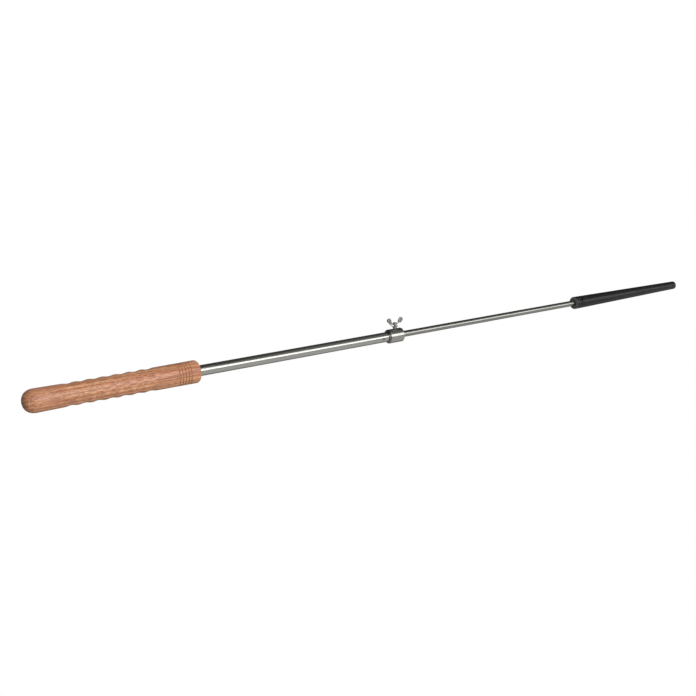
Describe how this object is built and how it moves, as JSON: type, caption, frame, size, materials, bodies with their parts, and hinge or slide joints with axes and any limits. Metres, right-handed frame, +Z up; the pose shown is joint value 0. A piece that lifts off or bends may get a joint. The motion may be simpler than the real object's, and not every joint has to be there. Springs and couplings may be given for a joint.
{
  "type": "telescopic roasting stick",
  "caption": "Telescopic campfire roasting stick with a turned wooden handle, a steel tube and rod, a wing-screw clamp collar and a blunt tapered roasting cone.",
  "frame": {"origin": "on the stick's axis, in the middle of the handle's length, where a hand holds it", "axes": "+X along the stick from the handle to the cone's tip, +Z up along the wing screw, +Y across"},
  "size_m": [1.0116, 0.0264, 0.0369],
  "materials": {
    "beech": "turned and sanded beech, lightly oiled, satin",
    "tube_steel": "stainless steel tube, centreless ground and polished, with fine lines round it",
    "rod_steel": "stainless steel tube, centreless ground and polished, with fine lines round it",
    "collar_steel": "stainless steel, fine turned",
    "wing_steel": "cast stainless steel, tumbled bright",
    "screw_steel": "machined stainless steel, dulled by heat",
    "cone_coating": "aluminium under a matte black non-stick coating",
    "nylon": "black nylon",
    "brass": "turned brass"
  },
  "bodies": {
    "handle_and_tube": {"handle": "beech", "outer_tube": "tube_steel", "tube_end_plug": "nylon", "clamp_collar": "collar_steel"},
    "slider": {"tail_bush": "nylon"},
    "rod_and_cone": {"inner_rod": "rod_steel", "tail_spindle": "collar_steel", "rod_insert": "collar_steel", "roasting_cone": "cone_coating", "cone_screw": "screw_steel"},
    "pad": {"pressure_pad": "brass"},
    "wing": {"wing_screw": "wing_steel"}
  },
  "joints": [
    {"name": "rod_slide", "type": "slide", "parent": "handle_and_tube", "child": "slider", "axis": [-1, 0, 0], "range_m": [0, 0.3088]},
    {"name": "rod_spin", "type": "hinge", "parent": "slider", "child": "rod_and_cone", "pos_m": [0.69475, 0, 0], "axis": [1, 0, 0], "continuous": true},
    {"name": "pad_lift", "type": "slide", "parent": "handle_and_tube", "child": "pad", "axis": [0, 0, 1], "range_m": [0, 0.0014]},
    {"name": "wing_turn", "type": "hinge", "parent": "pad", "child": "wing", "pos_m": [0.37375, 0, 0], "axis": [0, 0, 1], "range_deg": [0, 720]}
  ],
  "couplings": [
    {"joint": "wing_turn", "follows": "pad_lift", "rad_per_m": 8976}
  ]
}
